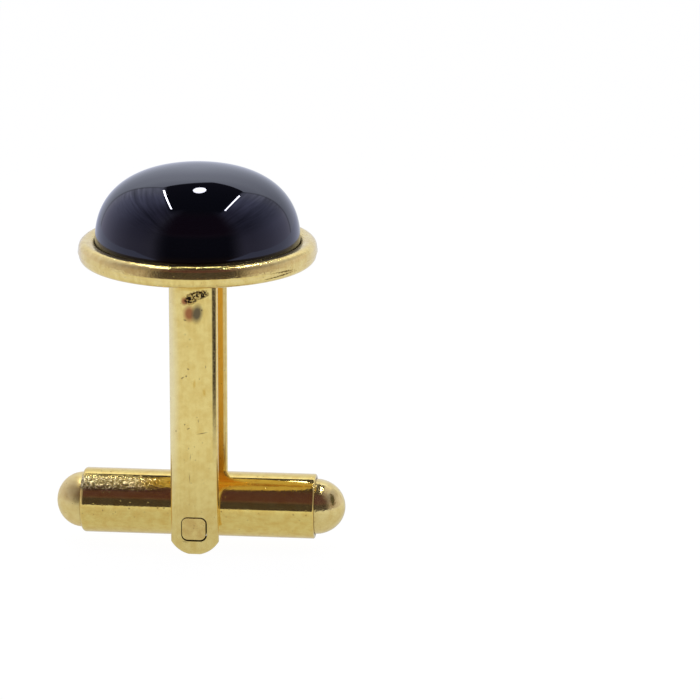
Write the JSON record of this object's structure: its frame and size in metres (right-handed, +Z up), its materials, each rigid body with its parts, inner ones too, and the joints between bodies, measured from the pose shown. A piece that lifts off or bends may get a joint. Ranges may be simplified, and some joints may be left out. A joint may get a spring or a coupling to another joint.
{
  "type": "cufflink",
  "caption": "Toggle-back cufflink: a domed black cabochon in a round rolled gold rim, on a forked post with a bullet-ended bar that swivels between its legs.",
  "frame": {"origin": "centre of the bounding box's underside: on the surface it stands on, midway between the ends of the two legs", "axes": "+Z up through the centre of the stone, X along the toggle bar with the longer tip at +X, -Y towards the front leg"},
  "size_m": [0.0202, 0.0162, 0.0267],
  "materials": {
    "setting_gold": "polished",
    "black_onyx": "polished",
    "pin_gold": "satin",
    "barrel_gold": "polished",
    "tip_gold": "polished"
  },
  "bodies": {
    "head_and_post": {"setting_post": "setting_gold", "stone": "black_onyx", "pivot_pin": "pin_gold"},
    "toggle": {"toggle_barrel": "barrel_gold", "toggle_tip_left": "tip_gold", "toggle_tip_right": "tip_gold"}
  },
  "joints": [
    {"name": "toggle_swivel", "type": "hinge", "parent": "head_and_post", "child": "toggle", "pos_m": [0, 0, 0.0019], "axis": [0, 1, 0], "range_deg": [-90, 90]}
  ]
}
